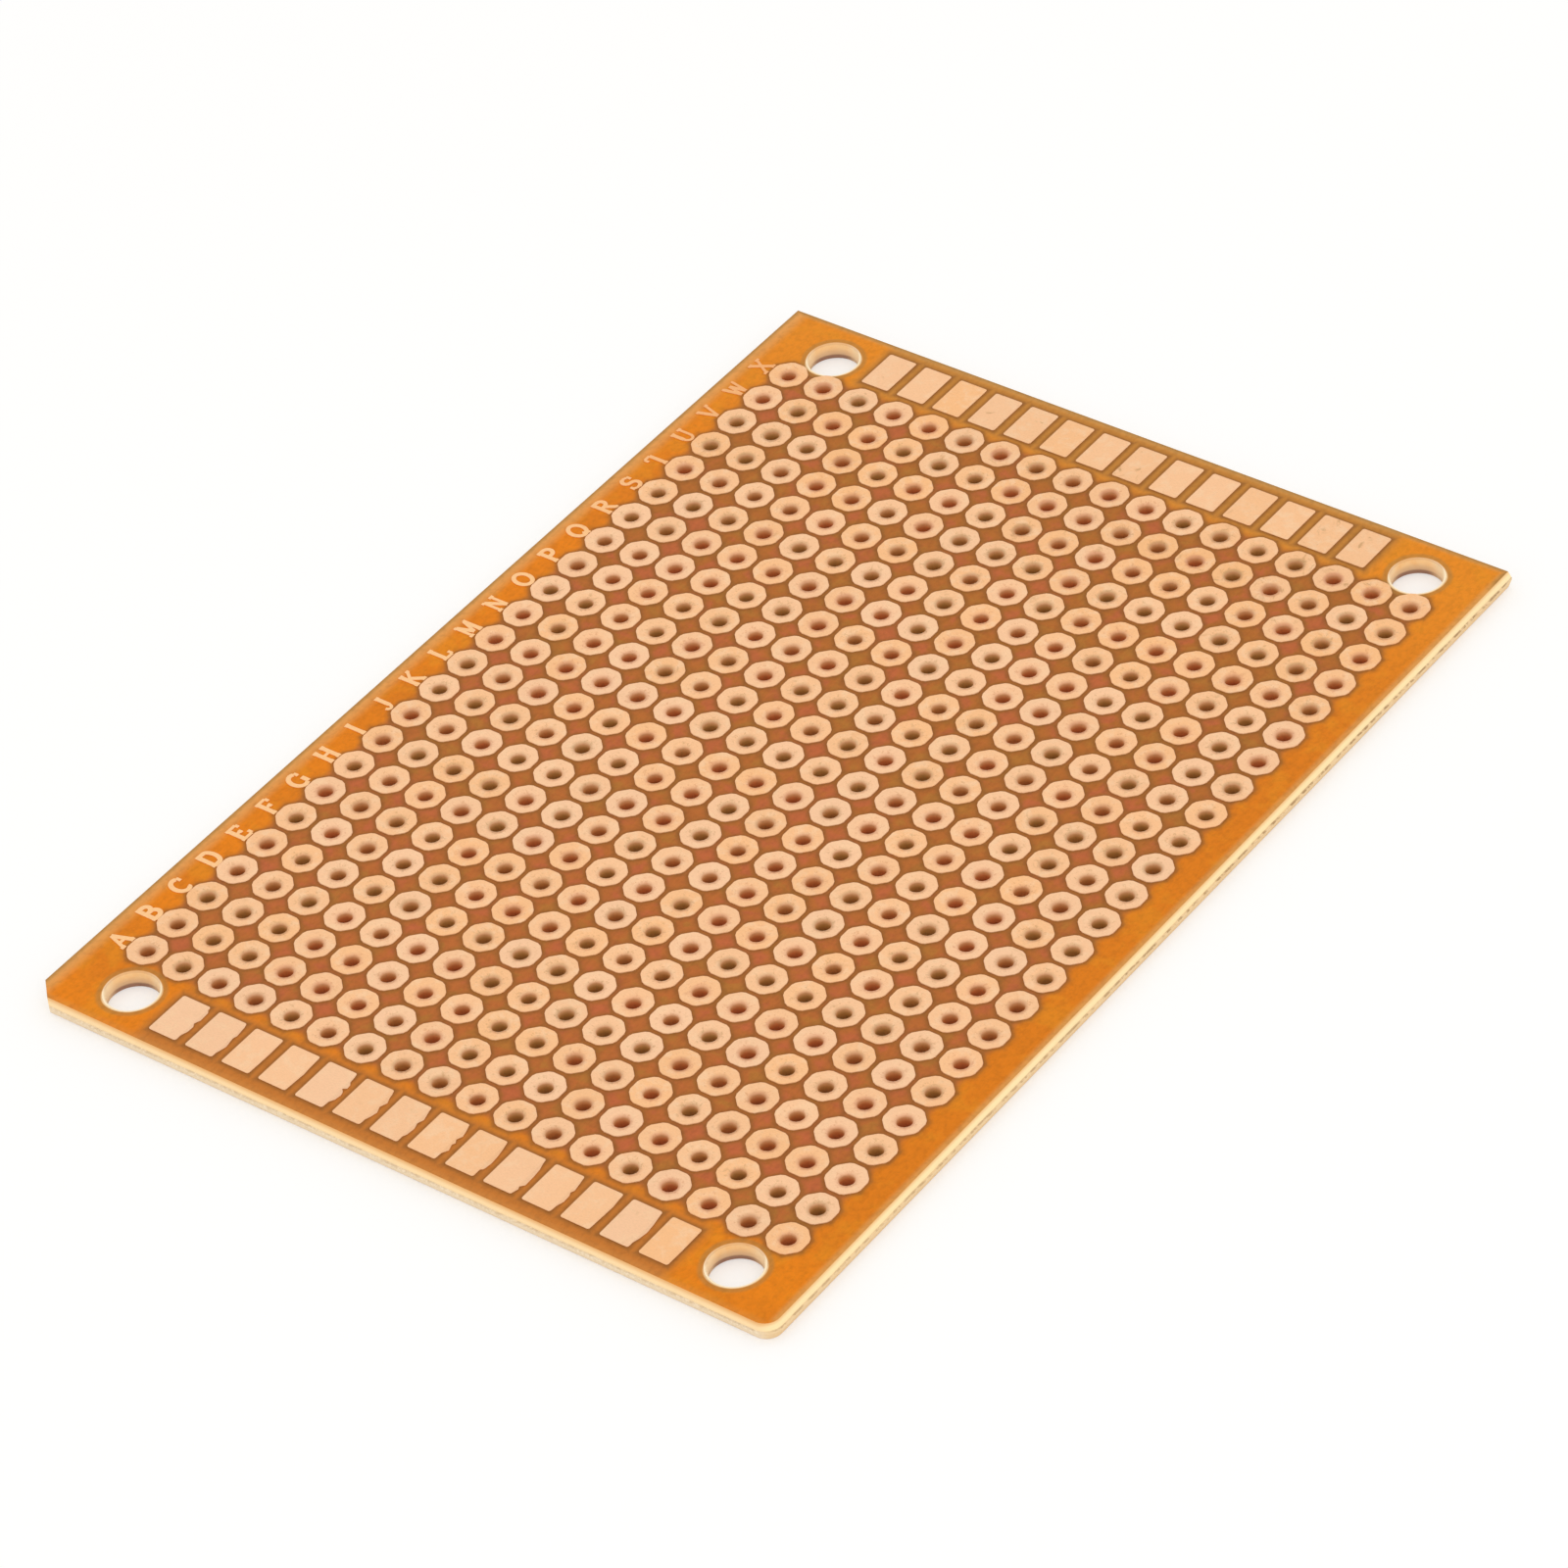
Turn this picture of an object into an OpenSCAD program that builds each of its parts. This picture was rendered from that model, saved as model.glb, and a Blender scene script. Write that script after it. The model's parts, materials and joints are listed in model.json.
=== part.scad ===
// Prototype board: a panel of phenolic paper laminate, bare below, with a grid
// of octagonal copper pads above, one round each lead hole, a row of oblong
// pads along each short side and a mounting hole near each corner.
// X runs across the columns, Y along the rows, and Z is up from the underside.

/* [Grid] */
// Distance from one lead hole to the next
pitch = 2.54; // [2:0.02:3]
// Lead holes across the board
columns = 18; // [8:1:30]
// Lead holes along the board, one lettered row each
rows = 24; // [4:1:26]
// How far the etched grid sits to the right of the panel's middle
pattern_shift_x = 0.12; // [-0.3:0.02:0.3]
// How far the etched grid sits behind the panel's middle
pattern_shift_y = 0.15; // [0:0.05:0.15]

/* [Panel] */
// Thickness of the bare laminate
board_t = 1.1; // [1:0.1:2]
// Outer column to the long edge, measured over the snapped web
side_margin = 3.41; // [2.4:0.01:8]
// Outer row to the short edge, measured over the snapped web
end_margin = 5.79; // [5.79:0.01:12]
// Cut across the front left corner, along each edge of the top face
corner_cut = 1; // [0.2:0.1:2]
// Radius worn on the front right corner
corner_round = 0.9; // [0.2:0.1:2]

/* [Snapped edges] */
// Thickness of the web that the V score in each face leaves between them
web_t = 0.15; // [0.1:0.05:0.6]
// Slope of each score flank from the vertical
score_angle = 15; // [10:2.5:35]
// How far the snapped web stands out past the score
web_stub = 0.13; // [0.05:0.01:0.3]

/* [Lead holes] */
// Bore of a lead hole
lead_d = 0.85; // [0.8:0.05:1.2]
// How much wider the rolled mouth is than the bore, on each side
mouth_flare = 0.3; // [0.05:0.05:0.3]
// How far the copper rolls down into the hole
roll_depth = 0.15; // [0.1:0.05:0.5]

/* [Mounting holes] */
// Bore of a mounting hole
mount_d = 3; // [2:0.1:3.2]
// Mounting hole to the long edge
mount_inset_x = 4.7; // [3:0.1:5]
// Mounting hole to the short edge
mount_inset_y = 3.05; // [2.5:0.05:3.05]
// How far the four mounting holes are drilled to the right of the middle
mount_shift_x = 0.2; // [-0.2:0.05:0.2]

/* [Copper] */
// Thickness of the copper foil
foil_t = 0.035; // [0.02:0.005:0.1]
// Bare laminate between two neighbouring octagonal pads
pad_gap = 0.28; // [0.2:0.02:0.6]
// How much etching takes off each corner of an octagon
etch_trim = 0.045; // [0.01:0.005:0.08]
// Width of an edge pad, across the board
edge_pad_w = 1.9; // [1:0.1:2.1]
// Length of an edge pad, along the board
edge_pad_l = 3; // [1:0.1:3.2]
// Corner radius of an edge pad
edge_pad_r = 0.14; // [0.02:0.02:0.4]
// Bare laminate between the first row and the front edge pads
front_gap = 0.65; // [0.3:0.05:0.8]
// Bare laminate between the last row and the back edge pads
back_gap = 0.45; // [0.3:0.05:0.6]
// Columns at each end that have no edge pad
edge_skip = 2; // [2:1:3]

/* [Hidden] */
$fn = 48;
// Overlap that lets a cut pass cleanly through a face
past = 0.5;
grid_w = (columns - 1) * pitch;
grid_l = (rows - 1) * pitch;
board_w = grid_w + 2 * side_margin;
board_l = grid_l + 2 * end_margin;
score_depth = (board_t - web_t) / 2;
edge_inset = web_stub + score_depth * tan(score_angle);
pad_w = pitch - pad_gap;
pad_corner_r = pad_w / 2 / cos(22.5) - etch_trim;
lead_r = lead_d / 2;
mouth_r = lead_r + mouth_flare;
edge_pads = columns - 2 * edge_skip;
// Where the etch left the right side of each front pad standing out, from the
// near end of the pad up: share of the pad's length, then distance in mm
NIBBLES = [
    [[0.16, 0], [0.3, 0.15], [0.44, 0.16], [0.52, 0.02], [0.64, 0.18], [0.86, 0.14], [0.92, 0]],
    [[0.12, 0], [0.24, 0.1], [0.34, 0.18], [0.48, 0.1], [0.58, 0.06], [0.66, 0.14], [0.9, 0.05]],
    [[0.3, 0.02], [0.6, 0.03]],
    [[0.28, 0.04], [0.5, 0.08], [0.66, 0.04]],
    [[0.18, 0.03], [0.28, 0.22], [0.42, 0.28], [0.5, 0.2], [0.56, 0.02], [0.61, 0.24], [0.7, 0.22], [0.76, 0.08], [0.9, 0.04]],
    [[0.16, 0.02], [0.26, 0.14], [0.4, 0.24], [0.54, 0.08], [0.68, 0.26], [0.8, 0.12], [0.9, 0.06]],
    [[0.16, 0], [0.24, 0.12], [0.42, 0.18], [0.55, 0.05], [0.68, 0.2], [0.8, 0.1], [0.9, 0.02]],
    [[0.18, 0.02], [0.3, 0.24], [0.44, 0.1], [0.5, 0.2], [0.58, 0.06], [0.7, 0.22], [0.86, 0.1]],
    [[0.2, 0], [0.24, 0.16], [0.42, 0.24], [0.62, 0.2], [0.84, 0.08]],
    [[0.16, 0.1], [0.22, 0.02], [0.3, 0.24], [0.56, 0.22], [0.74, 0.16], [0.88, 0.04]],
    [[0.18, 0.04], [0.32, 0.18], [0.48, 0.16], [0.56, 0.06], [0.64, 0.16], [0.84, 0.06]],
    [[0.2, 0.02], [0.5, 0.06], [0.66, 0.08], [0.84, 0.02]],
    [[0.14, 0], [0.28, 0.12], [0.46, 0.2], [0.66, 0.14], [0.86, 0.04]],
    [[0.4, 0.02], [0.7, 0.01]],
];

function col_x(c) = pattern_shift_x - grid_w / 2 + c * pitch;
function row_y(r) = pattern_shift_y - grid_l / 2 + r * pitch;
function row_name(r) = str("pads_row_", chr(97 + r));
function pad_number(k) = str(k < 9 ? "0" : "", k + 1);
function front_name(k) = str("front_pad_", pad_number(k));
function back_name(k) = str("back_pad_", pad_number(k));
function corner_arc(x, y, start) =
    [for (i = [0:3]) [x + edge_pad_r * cos(start + 30 * i), y + edge_pad_r * sin(start + 30 * i)]];

// Section across the panel from one snapped score to the other
module scored_section(width) {
    half = width / 2;
    flank = half - web_stub;
    polygon([
        [-(half - edge_inset), 0], [half - edge_inset, 0],
        [flank, score_depth], [half, score_depth],
        [half, board_t - score_depth], [flank, board_t - score_depth],
        [half - edge_inset, board_t], [-(half - edge_inset), board_t],
        [-flank, board_t - score_depth], [-half, board_t - score_depth],
        [-half, score_depth], [-flank, score_depth],
    ]);
}

module scored_panel() {
    intersection() {
        rotate([90, 0, 0])
            linear_extrude(height = board_l, center = true)
                scored_section(board_w);
        rotate([90, 0, 90])
            linear_extrude(height = board_w, center = true)
                scored_section(board_l);
    }
}

// Triangle cut off the front left corner
module corner_cutter() {
    reach = corner_cut + edge_inset;
    translate([-board_w / 2, -board_l / 2, -past])
        linear_extrude(height = board_t + 2 * past)
            polygon([[-past, -past], [reach + edge_inset + past, -past], [-past, reach + edge_inset + past]]);
}

// Waste outside the worn front right corner
module corner_rounder() {
    centre_x = board_w / 2 - edge_inset - corner_round;
    centre_y = -(board_l / 2 - edge_inset - corner_round);
    reach = corner_round + edge_inset + past;
    translate([centre_x, centre_y, -past])
        difference() {
            translate([0, -reach, 0])
                cube([reach, reach, board_t + 2 * past]);
            translate([0, 0, -past])
                cylinder(r = corner_round + edge_inset / 2, h = board_t + 4 * past);
        }
}

// Punched lead hole: a plain bore that opens into a seat for the rolled copper
module lead_hole() {
    rotate_extrude()
        polygon([
            [0, -past], [lead_r, -past],
            [lead_r, board_t - roll_depth], [lead_r + foil_t, board_t - roll_depth],
            [mouth_r + foil_t, board_t], [mouth_r + foil_t, board_t + past],
            [0, board_t + past],
        ]);
}

module mounting_holes() {
    for (sx = [-1, 1], sy = [-1, 1])
        translate([mount_shift_x + sx * (board_w / 2 - mount_inset_x), sy * (board_l / 2 - mount_inset_y), -past])
            cylinder(d = mount_d, h = board_t + 2 * past);
}

module laminate() {
    color([0.87, 0.51, 0.17])
        difference() {
            scored_panel();
            corner_cutter();
            corner_rounder();
            mounting_holes();
            for (r = [0:rows - 1], c = [0:columns - 1])
                translate([col_x(c), row_y(r), 0])
                    lead_hole();
        }
}

// Octagonal pad whose middle is rolled down into the lead hole
module octagon_pad() {
    intersection() {
        rotate_extrude()
            polygon([
                [lead_r, board_t - roll_depth], [lead_r + foil_t, board_t - roll_depth],
                [mouth_r + foil_t, board_t], [pad_corner_r, board_t],
                [pad_corner_r, board_t + foil_t], [mouth_r, board_t + foil_t],
            ]);
        rotate([0, 0, 22.5])
            cylinder(d = pad_w / cos(22.5), h = board_t + past, $fn = 8);
    }
}

module pad_row(r) {
    color([0.96, 0.76, 0.58])
        for (c = [0:columns - 1])
            translate([col_x(c), row_y(r), 0])
                octagon_pad();
}

// Oblong pad, with the right side standing out by the given nibbles
module edge_pad(k, middle_y, nibbles) {
    side = edge_pad_w / 2;
    end = edge_pad_l / 2;
    color([0.97, 0.77, 0.59])
        translate([col_x(k + edge_skip), middle_y, board_t])
            linear_extrude(height = foil_t)
                polygon(concat(
                    corner_arc(-side + edge_pad_r, -end + edge_pad_r, 180),
                    corner_arc(side - edge_pad_r, -end + edge_pad_r, 270),
                    [for (n = nibbles) [side + n[1], -end + n[0] * edge_pad_l]],
                    corner_arc(side - edge_pad_r, end - edge_pad_r, 0),
                    corner_arc(-side + edge_pad_r, end - edge_pad_r, 90)
                ));
}

module front_pad(k) {
    edge_pad(k, row_y(0) - pad_w / 2 - front_gap - edge_pad_l / 2, NIBBLES[k % len(NIBBLES)]);
}

module back_pad(k) {
    edge_pad(k, row_y(rows - 1) + pad_w / 2 + back_gap + edge_pad_l / 2, []);
}

laminate();
for (r = [0:rows - 1])
    pad_row(r);
for (k = [0:edge_pads - 1])
    front_pad(k);
for (k = [0:edge_pads - 1])
    back_pad(k);
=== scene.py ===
import itertools
import json
import math

import bmesh
import bpy
from mathutils import Matrix, Vector, geometry, noise


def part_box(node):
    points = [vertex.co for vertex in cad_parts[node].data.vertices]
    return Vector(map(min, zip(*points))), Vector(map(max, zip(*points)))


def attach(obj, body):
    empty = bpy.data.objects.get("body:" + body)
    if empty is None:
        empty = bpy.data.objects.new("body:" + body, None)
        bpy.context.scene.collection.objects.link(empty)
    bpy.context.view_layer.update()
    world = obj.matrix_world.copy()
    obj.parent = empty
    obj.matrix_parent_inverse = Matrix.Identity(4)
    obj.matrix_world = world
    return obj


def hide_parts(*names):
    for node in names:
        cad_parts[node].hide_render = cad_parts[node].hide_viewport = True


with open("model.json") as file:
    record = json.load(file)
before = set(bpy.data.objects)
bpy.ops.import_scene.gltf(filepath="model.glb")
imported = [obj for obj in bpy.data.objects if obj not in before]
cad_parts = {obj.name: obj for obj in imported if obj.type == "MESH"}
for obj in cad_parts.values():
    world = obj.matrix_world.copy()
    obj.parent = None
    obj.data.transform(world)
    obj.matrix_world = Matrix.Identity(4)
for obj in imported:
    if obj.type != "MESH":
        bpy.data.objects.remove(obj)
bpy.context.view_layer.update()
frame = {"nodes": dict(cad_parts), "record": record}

# Sizes and places are in millimetres, and become metres where an object is made.
MM = 0.001

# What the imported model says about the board
ROW_NODES = sorted(name for name in frame["nodes"] if name.startswith("pads_row_"))
EDGE_NODES = sorted(name for name in frame["nodes"] if name.startswith(("front_pad_", "back_pad_")))


def box_mm(node):
    """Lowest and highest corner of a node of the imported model."""
    low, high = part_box(node)
    return Vector(low) / MM, Vector(high) / MM


def mount(name):
    """One of the board's stated interfaces."""
    return next(m for m in frame["record"]["mounts"] if m["name"] == name)


PANEL_HIGH = box_mm("laminate")[1]
HALF_W = PANEL_HIGH.x
HALF_L = PANEL_HIGH.y
BOARD_T = PANEL_HIGH.z
FIRST_LOW, FIRST_HIGH = box_mm(ROW_NODES[0])
LAST_LOW = box_mm(ROW_NODES[-1])[0]
ROWS = len(ROW_NODES)
PAD_W = FIRST_HIGH.y - FIRST_LOW.y
PITCH = (LAST_LOW.y - FIRST_LOW.y) / (ROWS - 1)
COLUMNS = round((FIRST_HIGH.x - FIRST_LOW.x - PAD_W) / PITCH) + 1
GRID_X = FIRST_LOW.x + PAD_W / 2
GRID_Y = FIRST_LOW.y + PAD_W / 2
FOIL_TOP = FIRST_HIGH.z
FOIL_T = FOIL_TOP - BOARD_T
FRONT_LOW, FRONT_HIGH = box_mm("front_pad_03")
BACK_LOW, BACK_HIGH = box_mm("back_pad_03")
EDGE_PAD_W = BACK_HIGH.x - BACK_LOW.x
EDGE_PAD_L = BACK_HIGH.y - BACK_LOW.y
EDGE_FIRST_X = box_mm("back_pad_01")[0].x + EDGE_PAD_W / 2
EDGE_PADS = len(EDGE_NODES) // 2
MIDDLE_X = GRID_X + (COLUMNS - 1) * PITCH / 2
MIDDLE_Y = GRID_Y + (ROWS - 1) * PITCH / 2
HOLES = mount("mounting_holes")
MOUNT_R = HOLES["dims"]["hole_r_mm"]
MOUNT_X = HOLES["pos_m"][0] / MM
MOUNT_DX = HOLES["dims"]["spacing_x_mm"] / 2
MOUNT_DY = HOLES["dims"]["spacing_y_mm"] / 2

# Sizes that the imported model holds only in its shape
SCORE_DEPTH = 0.475
SCORE_ANGLE = math.radians(15)
WEB_STUB = 0.13
EDGE_INSET = WEB_STUB + SCORE_DEPTH * math.tan(SCORE_ANGLE)
CORNER_CUT = 1.0
CORNER_ROUND = 0.9
LEAD_R = 0.425
MOUTH_R = 0.725
ROLL_DEPTH = 0.15
ETCH_TRIM = 0.045

# Wear of a mounting hole: how wide and deep its rim is worn, which way most, and by how much. The same side
# carries a painted highlight in the colour.
MOUNT_RIM = 0.13
MOUNT_RIM_DEPTH = 0.14
WORN_TO = Vector((0.66, -0.75))
WORN_SHIFT = 0.08

# How far a hole breaks out where it leaves the underside, and from what height
BREAKOUT = 0.03
BREAKOUT_Z = 0.04

# Section of a rolled lip: where it starts, where it turns down, and how far it has dropped there
LIP_START_R = MOUTH_R + 0.06
LIP_TURN_R = LEAD_R + 0.06
LIP_DROP = 0.03

# Slope of a pad's etched rim, how far a pad wanders from its place, and the first row's seed
RIM_SLOPE = 0.012
PAD_WANDER = 0.006
FIRST_SEED = 11

# The photograph's camera, in the board's frame
CAMERA_AT = Vector((195.5696, -224.1219, 252.1278))
CAMERA_RIGHT = Vector((0.80012, 0.59232, -0.09473))
CAMERA_UP = Vector((-0.32795, 0.56420, 0.75771))
CAMERA_FOCAL = 163.147
SENSOR = 36.0

# The studio. The gap keeps the floor out of the plane of the board's underside.
FLOOR_HALF = 1500.0
FLOOR_GAP = 0.02
FLOOR_GLOW = 0.4
TENT_LIGHT = 0.97
LAMP_AT = Vector((420.0, -300.0, 500.0))
LAMP_ACROSS = 500.0
LAMP_WATTS = 0.5

# Where the row letters stand, and how their foil is drawn
LETTER_TOP_X = MIDDLE_X - 24.07
LETTER_SHIFT_Y = -0.12
LETTER_W = 1.0
LETTER_H = 1.2
HEAVY_STROKE = 0.245
FINE_STROKE = 0.175

# How full the strokes are in the first row, and how much of that is lost by the last
FULLNESS = 1.2
FULLNESS_LOST = 0.2


def tint(red, green, blue):
    """A screen colour, 0 to 255, as the linear colour that a shader takes."""
    def linear(part):
        share = part / 255
        if share <= 0.04045:
            return share / 12.92
        return ((share + 0.055) / 1.055) ** 2.4
    return (linear(red), linear(green), linear(blue), 1.0)


class Flow:
    """A value on its way through a node tree, so that sums on it read as Python."""

    def __init__(self, plan, socket):
        self.plan = plan
        self.socket = socket

    def math(self, operation, *others):
        inputs = dict(enumerate((self, *others)))
        return self.plan.node("ShaderNodeMath", {"operation": operation}, inputs)

    def __add__(self, other):
        return self.math("ADD", other)

    def __radd__(self, other):
        return self.math("ADD", other)

    def __sub__(self, other):
        return self.math("SUBTRACT", other)

    def __rsub__(self, other):
        return (self * -1).math("ADD", other)

    def __mul__(self, other):
        return self.math("MULTIPLY", other)

    def __rmul__(self, other):
        return self.math("MULTIPLY", other)

    def __truediv__(self, other):
        return self.math("DIVIDE", other)

    def __abs__(self):
        return self.math("ABSOLUTE")

    def least(self, other):
        return self.math("MINIMUM", other)

    def most(self, other):
        return self.math("MAXIMUM", other)

    def nearest_whole(self):
        return self.math("ROUND")

    def fade(self, start, end):
        """0 up to start and 1 from end, or the other way round, with a soft step between."""
        low, high = min(start, end), max(start, end)
        first, last = (0.0, 1.0) if start < end else (1.0, 0.0)
        inputs = {"Value": self, "From Min": low, "From Max": high, "To Min": first, "To Max": last}
        return self.plan.node("ShaderNodeMapRange", {"interpolation_type": "SMOOTHSTEP"}, inputs)

    def beside(self, name):
        """Another output of the node that this value comes from."""
        return Flow(self.plan, self.socket.node.outputs[name])


class Plan:
    """A node tree, with one method that adds any node to it."""

    def __init__(self, tree):
        self.tree = tree
        self.tree.nodes.clear()

    def node(self, kind, settings=None, inputs=None, out=0):
        """Adds a node, sets it, feeds its sockets, and gives what flows from one output."""
        made = self.tree.nodes.new(kind)
        for name, value in (settings or {}).items():
            setattr(made, name, value)
        for key, value in (inputs or {}).items():
            if isinstance(value, Flow):
                self.tree.links.new(value.socket, made.inputs[key])
            else:
                made.inputs[key].default_value = value
        return Flow(self, made.outputs[out]) if len(made.outputs) else None

    def place(self):
        """Object coordinates in millimetres, as one vector."""
        metres = self.node("ShaderNodeTexCoord", out="Object")
        return self.node("ShaderNodeVectorMath", {"operation": "SCALE"}, {0: metres, "Scale": 1 / MM})

    def split(self, vector):
        """X, Y and Z of a vector."""
        x = self.node("ShaderNodeSeparateXYZ", None, {0: vector})
        return x, x.beside("Y"), x.beside("Z")

    def stretched(self, vector, x, y, z):
        """A vector with each of its three parts scaled by its own factor."""
        return self.node("ShaderNodeVectorMath", {"operation": "MULTIPLY"}, {0: vector, 1: (x, y, z)})

    def mottle(self, vector, per_mm, detail=3.0, roughness=0.55, distortion=0.0):
        """Soft noise round 0.5, with so many patches for each millimetre."""
        inputs = {"Vector": vector, "Scale": per_mm, "Detail": detail,
                  "Roughness": roughness, "Distortion": distortion}
        return self.node("ShaderNodeTexNoise", None, inputs)

    def blend(self, share, first, second):
        """The first colour where share is 0 and the second where it is 1."""
        inputs = {0: share, 6: first, 7: second}
        return self.node("ShaderNodeMix", {"data_type": "RGBA"}, inputs, out=2)

    def shaded(self, share, colour, factor):
        """The colour, multiplied by a grey factor where share is 1."""
        grey = (factor, factor, factor, 1.0)
        inputs = {0: share, 6: colour, 7: grey}
        return self.node("ShaderNodeMix", {"data_type": "RGBA", "blend_type": "MULTIPLY"}, inputs, out=2)

    def relief(self, height, depth_mm, strength):
        """A normal from a height of 0 to 1 that stands for so many millimetres."""
        inputs = {"Strength": strength, "Distance": depth_mm * MM, "Height": height}
        return self.node("ShaderNodeBump", None, inputs)


def new_material(name, colour, roughness, normal, **constants):
    """Closes a material's plan with its main shader. The arguments come from a Plan made for it."""
    plan = colour.plan
    inputs = {"Base Color": colour, "Roughness": roughness, "Normal": normal, **constants}
    surface = plan.node("ShaderNodeBsdfPrincipled", None, inputs)
    plan.node("ShaderNodeOutputMaterial", None, {"Surface": surface})
    return bpy.data.materials[name]


def material_plan(name):
    """Makes a material and opens its plan."""
    made = bpy.data.materials.new(name)
    made.use_nodes = True
    return Plan(made.node_tree)


# Screen colours of the laminate
AMBER = tint(231, 129, 12)
AMBER_DEEP = tint(219, 122, 16)
AMBER_BACK = tint(230, 138, 28)
AMBER_GOLD = tint(224, 142, 26)
# The four russet colours paint shade: between the pads, and on one side of a mounting hole's rim.
RUSSET_SHADE = tint(184, 103, 46)
RUSSET_BACK = tint(178, 104, 40)
RUSSET_RED = tint(192, 98, 58)
RUSSET_OLIVE = tint(174, 116, 44)
STRIP_BROWN = tint(198, 118, 44)
STRIP_BACK = tint(200, 132, 52)
PAD_EDGE_SHADE = tint(146, 92, 38)
EDGE_YELLOW = tint(214, 156, 86)
EDGE_WARM = tint(226, 160, 88)
EDGE_OLIVE_SHADE = tint(172, 124, 60)
HALO = tint(250, 216, 164)
FLANK = tint(254, 221, 170)
FLANK_BRIGHT = tint(255, 229, 175)
FLANK_TOP = tint(236, 182, 118)
FLANK_LOW_GLOW = tint(242, 220, 188)
FLANK_LOW_GLOW_WARM = tint(238, 206, 158)
WEB_PALE = tint(246, 226, 196)
WEB_TAN = tint(232, 208, 172)
WEB_WARM = tint(238, 204, 154)
WEB_DARK = tint(176, 140, 98)
WALL_PALE = tint(214, 156, 104)
WALL_RED = tint(198, 112, 58)
WALL_OLIVE = tint(180, 124, 60)
DRILLED = tint(255, 212, 154)
DRILLED_WARM = tint(253, 202, 138)
DRILLED_LOW_SHADE = tint(222, 186, 148)
DRILLED_CREAM = tint(255, 236, 200)
DRILLED_FOOT_SHADOW = tint(150, 110, 92)
UNDERSIDE = tint(206, 122, 44)

# Screen colours of the copper
PEACH = tint(255, 207, 165)
PEACH_WARM = tint(255, 196, 138)
PEACH_PALE = tint(255, 212, 168)
LIP_OLIVE = tint(176, 136, 84)
LIP_RED = tint(204, 132, 92)
LIP_DEEP_SHADE = tint(212, 150, 102)
TARNISH = tint(196, 150, 98)
LETTER_PEACH = tint(255, 202, 142)
LETTER_FADED = tint(243, 172, 106)


def pad_cell(x, y):
    """Column and row of the nearest lead hole, and the distances from it across and along."""
    column = ((x - GRID_X) / PITCH).nearest_whole().most(0).least(COLUMNS - 1)
    row = ((y - GRID_Y) / PITCH).nearest_whole().most(0).least(ROWS - 1)
    return column, row, abs(x - GRID_X - column * PITCH), abs(y - GRID_Y - row * PITCH)


def pad_draw(x, y):
    """A random number from 0 to 1 for each pad, with two more beside it as Y and Z."""
    plan = x.plan
    column, row, _, _ = pad_cell(x, y)
    cell = plan.node("ShaderNodeCombineXYZ", None, {0: column, 1: row, 2: 3.0})
    draw = plan.node("ShaderNodeTexWhiteNoise", {"noise_dimensions": "3D"}, {"Vector": cell}, out="Color")
    return plan.node("ShaderNodeSeparateXYZ", None, {0: draw})


def pad_distance(x, y):
    """Millimetres from the nearest copper edge, negative on the copper."""
    _, _, across, along = pad_cell(x, y)
    octagon = across.most(along).most((across + along) * math.sqrt(0.5)) - PAD_W / 2
    edge_column = ((x - EDGE_FIRST_X) / PITCH).nearest_whole().most(0).least(EDGE_PADS - 1)
    edge_across = abs(x - EDGE_FIRST_X - edge_column * PITCH) - EDGE_PAD_W / 2
    front = abs(y - (FRONT_LOW.y + FRONT_HIGH.y) / 2) - EDGE_PAD_L / 2
    back = abs(y - (BACK_LOW.y + BACK_HIGH.y) / 2) - EDGE_PAD_L / 2
    return octagon.least(edge_across.most(front.least(back)))


def mount_place(x, y):
    """Where a point lies from the middle of the nearest mounting hole, across and along."""
    side = (x - MOUNT_X).math("SIGN")
    end = y.math("SIGN")
    return x - MOUNT_X - side * MOUNT_DX, y - end * MOUNT_DY


def worn_and_lit_side(across, along):
    """1 on the side of a mounting hole where its rim is worn most and painted as lit, and 0 opposite."""
    return (across * WORN_TO.x + along * WORN_TO.y).fade(MOUNT_R * -0.6, MOUNT_R * 0.6)


def beside_worn_and_lit(across, along):
    """1 on the two sides of a mounting hole next to the worn and painted-lit one, and 0 on that side and
    opposite.
    """
    return abs(along * WORN_TO.x - across * WORN_TO.y).fade(MOUNT_R * 0.5, MOUNT_R * 0.9)


def shade_between_pads(x, y):
    """1 between the pads, fading to 0 in the open margins: where the russet painted shade goes."""
    reach_x = (COLUMNS - 1) * PITCH / 2 + PAD_W / 2
    reach_y = (ROWS - 1) * PITCH / 2 + PAD_W / 2
    outside = (abs(x - MIDDLE_X) - reach_x).most(abs(y - MIDDLE_Y) - reach_y)
    return outside.fade(0.0, -0.7)


def strip_share(x, y):
    """1 round the edge pads, as far as the board's short edges."""
    middle_x = EDGE_FIRST_X + (EDGE_PADS - 1) * PITCH / 2
    reach_x = (EDGE_PADS - 1) * PITCH / 2 + EDGE_PAD_W / 2
    pads_from_y = -FRONT_HIGH.y
    beside = (abs(x - middle_x) - reach_x).fade(0.9, -0.2)
    beyond = abs(y).fade(pads_from_y - 1.2, pads_from_y + 0.3)
    return beside * beyond


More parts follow.
